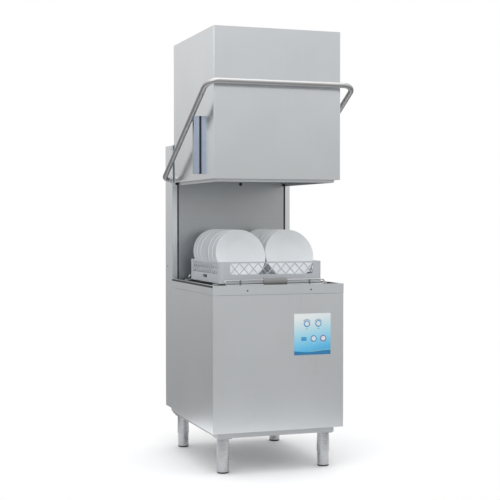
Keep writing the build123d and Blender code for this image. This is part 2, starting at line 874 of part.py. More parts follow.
# ---- column ----
bush_bore = handle_tube / 2 + handle_clearance
bush_outer = bush_bore + bush_wall
for side in (-1, 1):
    with BuildPart() as column_side:
        inner = half_column - sheet
        block(span(side, inner, half_column), (column_front, column_back - sheet), (floor_top, column_top))
        block(span(side, groove_outer, half_column), (column_front, splash_front), (floor_top, column_top))
        lip = span(side, groove_outer, groove_outer + sheet)
        block(lip, (column_front, splash_front + sheet), (floor_top, column_top))
        back_fold = (column_back - 2 * sheet, column_back - sheet)
        block(span(side, half_column - fold, half_column), back_fold, (service_top, column_top))
        # shelf that the counterbalance spring hooks on to
        shelf_y = (lever_y - spring_shelf, lever_y + spring_shelf)
        block(span(side, groove_outer + 6, half_column), shelf_y, (shelf_top - 2 * floor_sheet, shelf_top))
        start = (side * inner, pivot_y, pivot_z)
        rod(start, (side * half_column, pivot_y, pivot_z), bush_outer, mode=Mode.SUBTRACT)
    save(column_side, f"column_side_{side_name(side)}")

with BuildPart() as splash_panel:
    block((-groove_inner, groove_inner), (splash_front, splash_front + sheet), (gutter, column_top))
    pipe_end = (0, splash_front + sheet, upper_pipe_z)
    rod((0, splash_front, upper_pipe_z), pipe_end, riser_radius + 1, mode=Mode.SUBTRACT)
save(splash_panel, "splash_panel")

with BuildPart() as guide_channels:
    channel_front = splash_front + sheet
    channel_back = channel_front + groove_depth + sheet
    for side in (-1, 1):
        walls = span(side, groove_inner - sheet, groove_outer + sheet)
        slot = span(side, groove_inner, groove_outer)
        block(walls, (channel_front, channel_back), (gutter, column_top))
        block(slot, (channel_front, channel_back - sheet), (gutter, column_top), mode=Mode.SUBTRACT)
save(guide_channels, "guide_channels")

with BuildPart() as rear_cover:
    block((-half_column, half_column), (column_back - sheet, column_back), (service_top, column_top))
    louvre_plane = Plane(origin=(0, column_back, rim_height), x_dir=(1, 0, 0), z_dir=(0, 1, 0))
    with BuildSketch(louvre_plane):
        with GridLocations(90, 18, 4, 5):
            SlotOverall(64, 6)
    extrude(amount=-sheet, mode=Mode.SUBTRACT)
save(rear_cover, "rear_cover")

with BuildPart() as column_cap:
    block((-half_column, half_column), (column_front, column_back), (column_top, column_top + sheet))
save(column_cap, "column_cap")

with BuildPart() as pivot_bushes:
    for side in (-1, 1):
        bush_end = (side * (half_column - sheet - 4), pivot_y, pivot_z)
        bush_face = (side * half_column, pivot_y, pivot_z)
        bush_tip = (side * (half_column + bush_flange), pivot_y, pivot_z)
        rod(bush_end, bush_face, bush_outer)
        rod(bush_face, bush_tip, bush_outer + bush_wall)
        rod(bush_end, bush_tip, bush_bore, mode=Mode.SUBTRACT)
save(pivot_bushes, "pivot_bushes")


# ---- hood ----
with BuildPart() as hood_shell:
    block((-half_hood, half_hood), (hood_front, hood_back), (hood_bottom, hood_top))
    fillet(hood_shell.edges().filter_by(Axis.Z).group_by(Axis.Y)[0], 2 * sheet)
    inner = half_hood - sheet
    inner_y = (hood_front + sheet, hood_back - sheet)
    block((-inner, inner), inner_y, (hood_bottom + sheet, hood_top - sheet), mode=Mode.SUBTRACT)
    mouth = half_hood - hood_flange
    mouth_y = (hood_front + hood_flange, hood_back - sheet)
    block((-mouth, mouth), mouth_y, (hood_bottom, hood_bottom + sheet), mode=Mode.SUBTRACT)
    back = half_hood - hood_back_flange
    back_z = (hood_bottom, hood_top - hood_top_flange)
    block((-back, back), (hood_back - sheet, hood_back), back_z, mode=Mode.SUBTRACT)
save(hood_shell, "hood_shell")

with BuildPart() as hood_lip:
    lip_x = half_hood - lip_inset
    lip_front = hood_front + lip_inset
    lip_back = hood_back - 8
    lip_z = (hood_bottom - lip_drop, hood_bottom)
    block((-lip_x, lip_x), (lip_front, lip_back), lip_z)
    inner = lip_x - lip_thickness
    block((-inner, inner), (lip_front + lip_thickness, lip_back), lip_z, mode=Mode.SUBTRACT)
save(hood_lip, "hood_lip")

guide_low = hood_bottom - guide_overhang
with BuildPart() as hood_guides:
    for side in (-1, 1):
        for low in (guide_low, guide_low + upper_guide):
            tongue = span(side, groove_inner + guide_gap, groove_outer - guide_gap)
            foot = span(side, groove_inner - guide_foot_lap, groove_outer + guide_foot_lap)
            block(tongue, (hood_back + guide_foot, hood_back + guide_tongue), (low, low + guide_length))
            block(foot, (hood_back, hood_back + guide_foot), (low, low + guide_length))
save(hood_guides, "hood_guides")

strip_z = (link_low_z - link_end, link_top_z + link_end)
with BuildPart() as rub_strips:
    for side in (-1, 1):
        strip_y = (link_y - strip_width / 2, link_y + strip_width / 2)
        block(span(side, half_hood, half_hood + strip_thickness), strip_y, strip_z)
        start = (side * half_hood, link_y, link_low_z)
        end = (side * (half_hood + strip_thickness), link_y, link_low_z)
        rod(start, end, boss_radius, mode=Mode.SUBTRACT)
save(rub_strips, "rub_strips")

with BuildPart() as link_pins:
    for side in (-1, 1):
        face = (side * half_hood, link_y, link_low_z)
        shoulder = (side * (link_x - face_gap), link_y, link_low_z)
        tip = (side * (link_x + link_width + 1), link_y, link_low_z)
        rod(face, shoulder, boss_radius - face_gap)
        rod(shoulder, tip, pin_radius)
save(link_pins, "link_pins")

for side in (-1, 1):
    with BuildPart() as link:
        link_ends = (link_low_z - link_end, link_top_z + link_end)
        link_front = link_y - link_depth / 2
        link_back = link_y + link_depth / 2
        block(span(side, link_x, link_x + link_width), (link_front, link_back), link_ends)
        channel = span(side, link_x + link_wall, link_x + link_width - link_wall)
        block(channel, (link_front + link_wall, link_back), link_ends, mode=Mode.SUBTRACT)
        # a running fit on the hood's pin; the upper hole is the open pivot
        for pin_z, bore in ((link_low_z, pin_radius + running_gap), (link_top_z, pin_radius + 1)):
            start = (side * link_x, link_y, pin_z)
            rod(start, (side * (link_x + link_width), link_y, pin_z), bore, mode=Mode.SUBTRACT)
    save(link, f"link_{side_name(side)}")


# ---- handle and counterbalance ----
with BuildPart() as handle_bar:
    tube(
        [
            (-handle_stub, pivot_y, pivot_z),
            (-handle_x, pivot_y, pivot_z),
            (-handle_x, bar_y, bar_z),
            (handle_x, bar_y, bar_z),
            (handle_x, pivot_y, pivot_z),
            (handle_stub, pivot_y, pivot_z),
        ],
        handle_tube / 2,
        [handle_rear_bend, handle_front_bend, handle_front_bend, handle_rear_bend],
        bore=handle_tube / 2 - handle_wall,
    )
    for side in (-1, 1):
        boss_root = (side * (handle_x - handle_tube / 2 + handle_wall / 2), link_y, link_top_z)
        boss_tip = (side * (link_x + link_width + 1), link_y, link_top_z)
        rod(boss_root, boss_tip, boss_radius)
save(handle_bar, "handle_bar")

lever_inner = handle_stub + lever_gap
with BuildPart() as spring_levers:
    for side in (-1, 1):
        hub = (side * lever_inner, pivot_y, pivot_z)
        with BuildSketch(Plane(origin=hub, x_dir=(0, 1, 0), z_dir=(1, 0, 0))):
            Circle(lever_hub)
            with Locations((lever_y - pivot_y, lever_z - pivot_z)):
                Circle(lever_end)
            make_hull()
            Circle(handle_tube / 2, mode=Mode.SUBTRACT)
        extrude(amount=side * lever_thickness)
        pin_tip = (side * (lever_inner + lever_thickness + sheet), lever_y, lever_z)
        rod((side * lever_inner, lever_y, lever_z), pin_tip, lever_pin_radius)
save(spring_levers, "spring_levers")

spring_x = (groove_outer + sheet + half_column - sheet) / 2
with BuildPart() as counter_springs:
    for side in (-1, 1):
        centre = (side * spring_x, lever_y, spring_low)
        with BuildLine() as coil:
            Helix(spring_pitch, spring_length, spring_radius, center=centre)
        with BuildSketch(Plane(origin=coil.line @ 0, z_dir=coil.line % 0)) as wire:
            Circle(spring_wire)
        sweep(wire.sketch, path=coil.line, is_frenet=True)
save(counter_springs, "counter_springs")


# ---- rack and plates ----
rack_top = rack_bottom + rack_height
lattice_low = rack_bottom + lattice_from
lattice_high = rack_top - lattice_margin
half_rack = rack_size / 2
lattice_half = half_rack - corner_width
cell = (rack_size - 3 * rack_corner) / 8


def lattice(cells, bar):
    # crossed diagonal bars that fill the open band of a wall
    height = lattice_high - lattice_low
    pitch = 2 * lattice_half / cells
    angle = degrees(atan2(height, pitch))
    length = 2 * (height**2 + pitch**2) ** 0.5
    middle = (lattice_low + lattice_high) / 2
    for place in range(-1, cells + 1):
        with Locations((-lattice_half + (place + 0.5) * pitch, middle)):
            Rectangle(length, bar, rotation=angle)
            Rectangle(length, bar, rotation=-angle)
    with Locations((0, middle)):
        Rectangle(2 * lattice_half + 2, height, mode=Mode.INTERSECT)


with BuildPart() as rack:
    inside = rack_size - 2 * rack_wall
    # floor grid
    with BuildSketch(Plane.XY.offset(rack_bottom)):
        with Locations((0, rack_y)):
            Rectangle(inside, inside)
            with GridLocations(cell, cell, 8, 8):
                Rectangle(cell - floor_bar, cell - floor_bar, mode=Mode.SUBTRACT)
    extrude(amount=rack_floor)
    # the wall's lower band, its corners and its top rim
    for low, high, corners_only in (
        (rack_bottom, lattice_low, False),
        (lattice_low, lattice_high, True),
        (lattice_high, rack_top, False),
    ):
        with BuildSketch(Plane.XY.offset(low)):
            with Locations((0, rack_y)):
                RectangleRounded(rack_size, rack_size, rack_corner)
                RectangleRounded(inside, inside, rack_corner - rack_wall, mode=Mode.SUBTRACT)
                if corners_only:
                    Rectangle(rack_size, 2 * lattice_half, mode=Mode.SUBTRACT)
                    Rectangle(2 * lattice_half, rack_size, mode=Mode.SUBTRACT)
        extrude(amount=high - low)
    # crossed lattice, coarse at front and back and fine at the sides
    for outward, along, cells in (
        ((0, -1, 0), (1, 0, 0), 9),
        ((0, 1, 0), (-1, 0, 0), 9),
        ((-1, 0, 0), (0, -1, 0), 13),
        ((1, 0, 0), (0, 1, 0), 13),
    ):
        face = Vector(0, rack_y, 0) + Vector(*outward) * (half_rack - rack_wall)
        with BuildSketch(Plane(origin=face, x_dir=along, z_dir=outward)):
            lattice(cells, lattice_bar)
        extrude(amount=rack_wall)
    # hand slots in the two walls that lead and trail
    slot_y = (rack_y - hand_slot_half, rack_y + hand_slot_half)
    slot_z = tuple(rack_bottom + height for height in hand_slot_z)
    block((-half_rack - 1, half_rack + 1), slot_y, slot_z, mode=Mode.SUBTRACT)
    # pegs that the plates lean on, each on a crossbar
    peg_rows = [rack_y - first_plate + slot * plate_pitch + peg_back for slot in range(7)]
    peg_columns = [row + lean for row in plate_x for lean in (-peg_spread, peg_spread)]
    with BuildSketch(Plane.XY.offset(rack_bottom)):
        for y in peg_rows:
            with Locations((0, y)):
                Rectangle(inside, 2 * peg_radius)
    extrude(amount=rack_floor / 2)
    with BuildSketch(Plane.XY.offset(rack_bottom)) as pegs:
        for y in peg_rows:
            with Locations(*[(x, y) for x in peg_columns]):
                Circle(peg_radius)
    extrude(amount=rack_floor + peg_height)
save(rack, "rack")

plate_rest = rack_bottom + rack_floor + plate_lift
with BuildPart() as plates:
    for row, slots in zip(plate_x, (plate_slots_left, plate_slots_right)):
        for slot in slots:
            y = rack_y - first_plate + slot * plate_pitch
            z = plate_rest + plate_radius * cos(radians(plate_lean))
            upward = (0, sin(radians(plate_lean)), cos(radians(plate_lean)))
            profile_plane = Plane(origin=(row, y, z), x_dir=(1, 0, 0), z_dir=upward)
            with BuildSketch(profile_plane) as profile:
                with BuildLine():
                    Polyline(
                        (0, plate_depth - plate_skin),
                        (plate_foot + 8, plate_depth - plate_skin),
                        (plate_radius - 4, 0),
                        (plate_radius, 1),
                        (plate_radius, 4),
                        (plate_foot + 6, plate_depth),
                        (0, plate_depth),
                        close=True,
                    )
                make_face()
            revolve(profile.sketch, axis=Axis(profile_plane.origin, profile_plane.y_dir))
save(plates, "plates")
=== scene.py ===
import bpy
import json
from math import cos, radians
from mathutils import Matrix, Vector


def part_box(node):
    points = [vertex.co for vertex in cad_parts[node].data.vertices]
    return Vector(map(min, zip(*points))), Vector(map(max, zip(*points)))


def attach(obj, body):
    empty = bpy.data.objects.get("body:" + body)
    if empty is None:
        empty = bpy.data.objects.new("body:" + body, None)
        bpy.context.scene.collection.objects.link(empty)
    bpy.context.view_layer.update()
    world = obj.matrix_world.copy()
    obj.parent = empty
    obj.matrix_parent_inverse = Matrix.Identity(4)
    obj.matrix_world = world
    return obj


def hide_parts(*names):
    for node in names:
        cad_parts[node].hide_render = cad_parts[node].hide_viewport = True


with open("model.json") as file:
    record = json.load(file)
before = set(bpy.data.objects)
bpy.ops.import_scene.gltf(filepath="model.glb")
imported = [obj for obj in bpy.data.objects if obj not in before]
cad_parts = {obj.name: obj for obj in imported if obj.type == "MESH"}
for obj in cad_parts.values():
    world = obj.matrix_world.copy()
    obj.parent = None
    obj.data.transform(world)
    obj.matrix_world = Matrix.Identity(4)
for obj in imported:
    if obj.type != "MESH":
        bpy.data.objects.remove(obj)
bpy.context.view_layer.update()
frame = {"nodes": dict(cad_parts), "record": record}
nodes = frame["nodes"]
print("frame loaded:", len(nodes), "nodes")


# camera and studio
camera = {"place": (-1.8772, -5.3693, 1.1616), "turn": 19.19, "drop": 1.52, "lens": 84.0}
studio = {
    "floor": 1.15,
    # how bright the room is, from straight down (0) to straight up (1)
    "levels": [
        (0.0, 0.34), (0.40, 0.36), (0.47, 0.46), (0.53, 0.66), (0.60, 0.78), (0.75, 0.96), (1.0, 1.15),
    ],
    "brightest": 1.5,
    "backDark": 0.26,
    "rightDark": 0.22,
}


def addCamera():
    data = bpy.data.cameras.new("camera")
    data.lens = camera["lens"]
    data.clip_end = 60
    view = bpy.data.objects.new("camera", data)
    view.location = camera["place"]
    view.rotation_euler = (radians(90 - camera["drop"]), 0, radians(-camera["turn"]))
    bpy.context.scene.collection.objects.link(view)
    bpy.context.scene.camera = view


def areaLight(name, place, aim, size, power, colour=(1, 1, 1)):
    data = bpy.data.lights.new(name, "AREA")
    data.shape = "RECTANGLE"
    data.size, data.size_y = size
    data.energy = power
    data.color = colour
    lamp = bpy.data.objects.new(name, data)
    lamp.location = place
    lamp.rotation_euler = (Vector(aim) - Vector(place)).to_track_quat("-Z", "Y").to_euler()
    bpy.context.scene.collection.objects.link(lamp)


def clearSelection():
    bpy.ops.object.select_all(action="DESELECT")


class Wire:  # a socket that sums and multiplies like a number
    def __init__(self, nodes, socket):
        self.nodes = nodes
        self.socket = socket

    def maths(self, operation, *others, clamp=False):
        return self.nodes.node("ShaderNodeMath", {"operation": operation, "use_clamp": clamp}, [self, *others])

    def __add__(self, other):
        return self.maths("ADD", other)

    __radd__ = __add__

    def __sub__(self, other):
        return self.maths("SUBTRACT", other)

    def __rsub__(self, other):
        return self.nodes.node("ShaderNodeMath", {"operation": "SUBTRACT"}, [other, self])

    def __mul__(self, other):
        return self.maths("MULTIPLY", other)

    __rmul__ = __mul__

    def __gt__(self, other):
        return self.maths("GREATER_THAN", other)

    def __lt__(self, other):
        return self.maths("LESS_THAN", other)

    def clamp(self):
        return self.maths("ADD", 0.0, clamp=True)


class Nodes:  # a node tree and the one way that nodes are added to it
    def __init__(self, tree):
        self.tree = tree

    def node(self, kind, settings=None, links=(), out=0):
        made = self.tree.nodes.new(kind)
        for key, value in (settings or {}).items():
            if key == "stops":
                ramp = made.color_ramp
                while len(ramp.elements) < len(value):
                    ramp.elements.new(0.5)
                for element, (spot, colour) in zip(ramp.elements, value):
                    element.position = spot
                    element.color = colour if len(colour) == 4 else (*colour, 1)
            else:
                setattr(made, key, value)
        pairs = links.items() if isinstance(links, dict) else enumerate(links)
        for key, value in pairs:
            if isinstance(value, Wire):
                self.tree.links.new(value.socket, made.inputs[key])
            elif value is not None:
                made.inputs[key].default_value = value
        return Wire(self, made.outputs[out])

    def ramp(self, value, stops):
        return self.node("ShaderNodeValToRGB", {"stops": stops}, [value])


class Finish(Nodes):  # one material and the nodes that make it
    def __init__(self, name, **values):
        self.material = bpy.data.materials.new(name)
        self.material.use_nodes = True
        super().__init__(self.material.node_tree)
        self.shader = self.tree.nodes["Principled BSDF"]
        for socket, value in values.items():
            self.shader.inputs[socket.replace("_", " ")].default_value = value
        self.place = self.node("ShaderNodeTexCoord", out="Object")

    def feed(self, **wires):
        for socket, wire in wires.items():
            self.tree.links.new(wire.socket, self.shader.inputs[socket.replace("_", " ")])

    def stretched(self, scale):
        return self.node("ShaderNodeMapping", {}, {"Vector": self.place, "Scale": scale})

    def noise(self, vector, scale, detail=3.0, rough=0.5):
        return self.node(
            "ShaderNodeTexNoise",
            {},
            {"Vector": vector, "Scale": scale, "Detail": detail, "Roughness": rough},
        )

    def mix(self, share, first, second):
        return self.node("ShaderNodeMix", {"data_type": "RGBA"}, {0: share, 6: first, 7: second}, out=2)

    def bump(self, height, strength, distance=0.001):
        return self.node("ShaderNodeBump", {}, {"Strength": strength, "Distance": distance, "Height": height})

    def axis(self, letter):
        return self.node("ShaderNodeSeparateXYZ", {}, [self.place], out=letter)


def grey(value):
    return (value, value, value * 1.01, 1)


# brushed sheet: fine lines along one axis, cloudy wear on top
def brushedSteel(name, along, tone=0.62, rough=0.3, tint=(0.962, 0.992, 1.018), lines=0.35, cloud=0.06):
    finish = Finish(name, Metallic=1.0, Roughness=rough)
    scale = {"X": (3, 900, 900), "Y": (900, 3, 900), "Z": (900, 900, 3)}[along]
    fine = finish.noise(finish.stretched(scale), 1.0, 2.0)
    coarse = finish.noise(finish.stretched(tuple(s * 0.22 for s in scale)), 1.0, 3.0)
    smear = finish.noise(finish.place, 3.2, 4.0, 0.55)
    specks = finish.noise(finish.place, 38.0, 3.0, 0.6)
    grain = fine * 0.6 + coarse * 0.4
    low = tuple(tone * (1 - cloud) * c for c in tint)
    high = tuple(min(1, tone * (1 + cloud) * c) for c in tint)
    shade = (smear * 0.55 + grain * 0.45 - 0.5) * 2.2 + 0.5
    finish.feed(
        Base_Color=finish.mix(shade.clamp(), (*low, 1), (*high, 1)),
        Roughness=(rough - 0.07) + grain * 0.1 + smear * 0.05 + specks * 0.02,
        Normal=finish.bump(grain, lines, 0.00012),
    )
    return finish.material


def legSteel():
    # drawn tube with a rubber foot end
    finish = Finish("turnedSteel", Roughness=0.22)
    z = finish.axis("Z")
    rings = finish.noise(finish.stretched((4, 4, 1100)), 1.0, 2.0)
    scuff = finish.noise(finish.place, 26.0, 4.0, 0.6)
    metal = (z > 0.0075) * 1.0
    steel = finish.mix(scuff, (0.44, 0.45, 0.465, 1), (0.53, 0.54, 0.555, 1))
    finish.feed(
        Base_Color=finish.mix(metal, (0.03, 0.03, 0.032, 1), steel),
        Metallic=metal,
        Roughness=0.62 - metal * 0.42 + rings * 0.08 + scuff * 0.06,
        Normal=finish.bump(rings, 0.25, 0.00015),
    )
    return finish.material


def filmedSteel():
    # the links keep a blue protective film on the side that faces the operator
    finish = Finish("filmedSteel", Metallic=1.0, Roughness=0.25)
    low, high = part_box("link_left")
    film = finish.axis("Y") < low.y + 0.0012
    grain = finish.noise(finish.stretched((700, 700, 4)), 1.0, 2.0)
    cloud = finish.noise(finish.place, 18.0, 3.0)
    steel = finish.mix(cloud, (0.42, 0.43, 0.45, 1), (0.52, 0.53, 0.55, 1))
    blue = finish.mix(cloud, (0.50, 0.57, 0.70, 1), (0.57, 0.64, 0.77, 1))
    finish.feed(
        Base_Color=finish.mix(film, steel, blue),
        Roughness=0.2 + grain * 0.12 + cloud * 0.06,
        Normal=finish.bump(grain, 0.2, 0.0001),
    )
    return finish.material


def deckSteel():
    # folded rim, bright on top; the gutter inside it is coloured near black as painted shade, standing in for the
    # shadow in that recess
    finish = Finish("deckSteel", Metallic=1.0, Roughness=0.32)
    low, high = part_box("rim_deck")
    z = finish.axis("Z")
    # painted shade: mask of the gutter band behind the front edge, where the recess is in shadow
    gutterShade = (z < high.z - 0.0012) * (z > high.z - 0.0105)
    inside = finish.axis("Y") > low.y + 0.004
    grain = finish.noise(finish.stretched((3, 900, 900)), 1.0, 2.0)
    cloud = finish.noise(finish.place, 6.0, 4.0, 0.55)
    bright = finish.mix(cloud, (0.84, 0.87, 0.895, 1), (0.91, 0.94, 0.965, 1))
    finish.feed(
        # the masked gutter gets a near-black colour as painted shade
        Base_Color=finish.mix(gutterShade * inside, bright, (0.045, 0.047, 0.05, 1)),
        Roughness=0.26 + grain * 0.1 + cloud * 0.05,
        Normal=finish.bump(grain, 0.3, 0.00012),
    )
    return finish.material


def polishedSteel(name, tone=0.72, rough=0.14):
    finish = Finish(name, Metallic=1.0, Roughness=rough)
    haze = finish.noise(finish.place, 22.0, 3.0)
    hair = finish.noise(finish.place, 500.0, 2.0)
    finish.feed(
        Base_Color=finish.mix(haze, grey(tone * 0.94), grey(tone)),
        Roughness=(rough - 0.04) + haze * 0.08 + hair * 0.04,
        Normal=finish.bump(hair, 0.02, 0.0001),
    )
    return finish.material


def mouldedPlastic(name, colour, rough=0.45, texture=0.2, grainScale=900.0, spread=0.08, coat=0.0):
    finish = Finish(name, Roughness=rough, Coat_Weight=coat)
    grain = finish.noise(finish.place, grainScale, 2.0)
    cloud = finish.noise(finish.place, 9.0, 3.0)
    low = tuple(c * (1 - spread) for c in colour)
    high = tuple(min(1, c * (1 + spread)) for c in colour)
    finish.feed(
        Base_Color=finish.mix(cloud, (*low, 1), (*high, 1)),
        Roughness=(rough - 0.05) + cloud * 0.1,
        Normal=finish.bump(grain, texture, 0.0003),
    )
    return finish.material


def glazedChina():
    finish = Finish("glazedChina", Roughness=0.08, Coat_Weight=0.6, IOR=1.52)
    cloud = finish.noise(finish.place, 14.0, 2.0)
    pits = finish.noise(finish.place, 420.0, 2.0)
    speck = finish.ramp(pits, [(0.0, (0, 0, 0)), (0.74, (0, 0, 0)), (0.78, (1, 1, 1))])
    body = finish.mix(cloud, (0.87, 0.91, 0.94, 1), (0.92, 0.945, 0.965, 1))
    finish.feed(
        Base_Color=finish.mix(speck * 0.25, body, (0.62, 0.64, 0.62, 1)),
        Roughness=0.06 + cloud * 0.07,
        Normal=finish.bump(cloud, 0.08, 0.002),
    )
    return finish.material


panelPrint = {
    "ring": (0.0110, 0.0156), "ringBlue": (0.09, 0.36, 0.66, 1), "ringPlum": (0.22, 0.20, 0.46, 1),
    "ink": (0.06, 0.16, 0.30, 1), "deep": (0.03, 0.22, 0.46, 1), "swell": (0.16, 0.50, 0.72, 1),
}


def facePrint():
    # the printed film of the control panel: pale at the top, sky blue lower down, a dark wave along its foot
    low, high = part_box("control_panel")
    finish = Finish("facePrint", Roughness=0.22, Coat_Weight=0.4)
    x, z = finish.axis("X"), finish.axis("Z")
    rise = (z - low.z) * (1 / (high.z - low.z))
    across = (x - low.x) * (1 / (high.x - low.x))
    sky = finish.ramp(rise - across * 0.16 + 0.08, [
        (0.0, (0.05, 0.42, 0.76)), (0.18, (0.14, 0.56, 0.88)), (0.36, (0.27, 0.68, 0.92)),
        (0.56, (0.46, 0.79, 0.93)), (0.78, (0.72, 0.89, 0.95)), (0.96, (0.92, 0.96, 0.97)),
    ])
    edge = (across * 5.4 + 2.6).maths("SINE") * 0.018 + 0.085
    paint = finish.mix((rise < edge + 0.045) * (across > 0.38), sky, panelPrint["swell"])
    paint = finish.mix(rise < edge, paint, panelPrint["deep"])
    for name in ("button_start", "button_cycle", "button_drain", "button_power"):
        near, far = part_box(name)
        middle = (near + far) / 2
        away = ((x - middle.x).maths("POWER", 2.0) + (z - middle.z).maths("POWER", 2.0)).maths("SQRT")
        inner, outer = panelPrint["ring"]
        ring = (away > inner) * (away < outer)
        paint = finish.mix(ring, paint, panelPrint["ringPlum" if name == "button_power" else "ringBlue"])
        if middle.z > (low.z + high.z) / 2:
            # a small plate shape over the ring and a short dash under it
            arc = (away > outer + 0.003) * (away < outer + 0.0052) * (z - middle.z > 0.011)
            dash = (z - middle.z < -0.0222) * (z - middle.z > -0.0242)
            dash = dash * ((x - middle.x).maths("ABSOLUTE") < 0.004)
            paint = finish.mix(arc + dash, paint, panelPrint["ink"])
        else:
            dash = (z - middle.z < -0.0192) * (z - middle.z > -0.0208)
            dash = dash * ((x - middle.x).maths("ABSOLUTE") < 0.0035)
            paint = finish.mix(dash, paint, (0.85, 0.92, 0.95, 1))
    dots = finish.noise(finish.place, 300.0, 2.0)
    finish.feed(
        Base_Color=paint,
        Roughness=0.18 + finish.noise(finish.place, 60.0, 3.0) * 0.1,
        Normal=finish.bump(dots, 0.05, 0.0003),
    )
    return finish.material


def displayGlass():
    finish = Finish("displayGlass", Roughness=0.1, Coat_Weight=1.0)
    low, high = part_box("display_window")
    z = finish.axis("Z")
    rise = (z - low.z) * (1 / (high.z - low.z))
    lines = (z * 1600.0).maths("SINE") * 0.5 + 0.5
    body = finish.mix(rise, (0.04, 0.30, 0.62, 1), (0.09, 0.46, 0.80, 1))
    finish.feed(
        Base_Color=finish.mix(lines * 0.3, body, (0.04, 0.32, 0.66, 1)),
        Roughness=0.08 + finish.noise(finish.place, 80.0, 2.0) * 0.08,
    )
    return finish.material


def hoseRubber():
    finish = Finish("hoseRubber", Roughness=0.6)
    ply = (finish.axis("Z") * 900.0).maths("SINE") * 0.5 + 0.5
    dust = finish.noise(finish.place, 30.0, 4.0)
    finish.feed(
        Base_Color=finish.mix(dust, (0.018, 0.018, 0.02, 1), (0.05, 0.05, 0.052, 1)),
        Roughness=0.5 + dust * 0.2,
        Normal=finish.bump(ply, 0.3, 0.0006),
    )
    return finish.material


def stageFloor():
    finish = Finish("stageFloor", Roughness=0.7)
    cloud = finish.noise(finish.place, 1.4, 3.0)
    finish.feed(Base_Color=finish.mix(cloud, (0.93, 0.93, 0.94, 1), (0.97, 0.97, 0.97, 1)))
    return finish.material


finishes = {
    "brushed_panel": brushedSteel("brushedUpright", "Z", tone=0.955, rough=0.28, lines=0.2, cloud=0.025),
    "hood_steel": brushedSteel("hoodSteel", "Z", tone=0.85, rough=0.17, lines=0.12),
    "brushed_flat": brushedSteel("brushedAcross", "X", tone=0.72, rough=0.34),
    "deck_steel": deckSteel(),
    "tank_steel": brushedSteel("millSteel", "X", tone=0.54, rough=0.38, lines=0.2, cloud=0.08),
    "splash": brushedSteel("splashSteel", "X", tone=0.56, rough=0.32, cloud=0.1),
    "polished_steel": polishedSteel("polishedTube", tone=0.55, rough=0.42),
    "guide_wire": polishedSteel("guideWire", tone=0.74, rough=0.3),
    "guide_plate": polishedSteel("guidePlateSteel", tone=0.42, rough=0.4),
    "leg_steel": legSteel(),
    "link_steel": filmedSteel(),
    "spring_steel": polishedSteel("springWire", tone=0.22, rough=0.35),
    "black_plastic": mouldedPlastic("blackPlastic", (0.02, 0.02, 0.022), rough=0.5),
    "grey_plastic": mouldedPlastic("greyPlastic", (0.22, 0.23, 0.25), rough=0.5),
    "rack_plastic": mouldedPlastic("rackPlastic", (0.60, 0.632, 0.668), rough=0.42, texture=0.35),
    "hose_rubber": hoseRubber(),
    "dark_screw": polishedSteel("screwHead", tone=0.16, rough=0.35),
    "brass": polishedSteel("brassFitting", tone=0.5, rough=0.25),
    "motor_paint": mouldedPlastic("motorPaint", (0.06, 0.10, 0.2), rough=0.35, coat=0.3),
    "insulation": mouldedPlastic(
        "boilerJacket", (0.05, 0.05, 0.055), rough=0.85, texture=0.8, grainScale=160.0,
    ),
    "panel_print": facePrint(),
    "display_lens": displayGlass(),
    "button_white": mouldedPlastic("buttonWhite", (0.82, 0.86, 0.88), rough=0.25, texture=0.05, coat=0.5),
    "china": glazedChina(),
    # the rim colour is a touch lighter and less blue than the china body: a painted highlight along the plate
    # rims
    "china_rim_highlight": mouldedPlastic("rimPaintedHighlight", (0.93, 0.95, 0.955), rough=0.14, texture=0.04, spread=0.02, coat=0.6),
}
slotFinish = {row["node"]: row["material_slot"] for row in frame["record"]["subparts"]}
special = {
    "rim_deck": "deck_steel", "column_cap": "brushed_flat", "hood_lip": "brushed_flat",
    "splash_panel": "splash", "hood_shell": "hood_steel", "rub_strips": "black_plastic",
}
for name, node in nodes.items():
    key = special.get(name, slotFinish[name])
    node.data.materials.clear()
    node.data.materials.append(finishes[key])
print("finishes given to the frame's nodes")

addCamera()
clearSelection()
bpy.ops.mesh.primitive_circle_add(vertices=96, radius=studio["floor"], fill_type="NGON", location=(0, 0, 0))
floor = bpy.context.object
floor.name = "floor"
floor.data.materials.append(stageFloor())

world = bpy.data.worlds.new("studio")
world.use_nodes = True
bpy.context.scene.world = world
room = Nodes(world.node_tree)
background = room.tree.nodes["Background"]
background.inputs["Color"].default_value = (1, 1, 1, 1)
sky = room.node("ShaderNodeTexCoord", out="Generated")
split = [room.node("ShaderNodeSeparateXYZ", {}, [sky], out=letter) for letter in "XYZ"]
levels = [(place, (level / studio["brightest"],) * 3) for place, level in studio["levels"]]
height = room.ramp(split[2] * 0.5 + 0.5, levels)
low = (0.5 - split[2] * 4.0).clamp()
behind = (split[1] * 2.0 + 0.2).clamp()
rightward = ((split[0] - 0.12) * 1.6).clamp() * (0.2 - split[1] * 2.0).clamp()
glow = height * studio["brightest"] * (1.0 - low * behind * studio["backDark"])
glow = glow * (1.0 - rightward * studio["rightDark"])
seen = room.node("ShaderNodeLightPath", out="Is Camera Ray")
strength = glow * (1.0 - seen) + seen  # plain white where the camera sees it
room.tree.links.new(strength.socket, background.inputs["Strength"])

areaLight("keyLight", (-3.0, -3.6, 3.6), (0, 0, 1.1), (3.2, 2.6), 34)
areaLight("fillLight", (3.4, -2.6, 2.6), (0, 0, 1.0), (2.6, 2.6), 9)
areaLight("topLight", (0, -0.4, 4.4), (0, 0, 1), (3.6, 3.6), 46)
bpy.context.scene.view_settings.view_transform = "Standard"


def finished(name, body, finish, smooth=30):
    # leaves edit mode and puts the piece's place into its mesh
    bpy.ops.object.mode_set(mode="OBJECT")
    piece = bpy.context.object
    piece.name = name
    piece.data.name = name
    bpy.ops.object.transform_apply(location=True, rotation=True, scale=True)
    bpy.ops.object.shade_smooth_by_angle(angle=radians(smooth))
    piece.data.materials.clear()
    piece.data.materials.append(finish)
    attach(piece, body)
    return piece


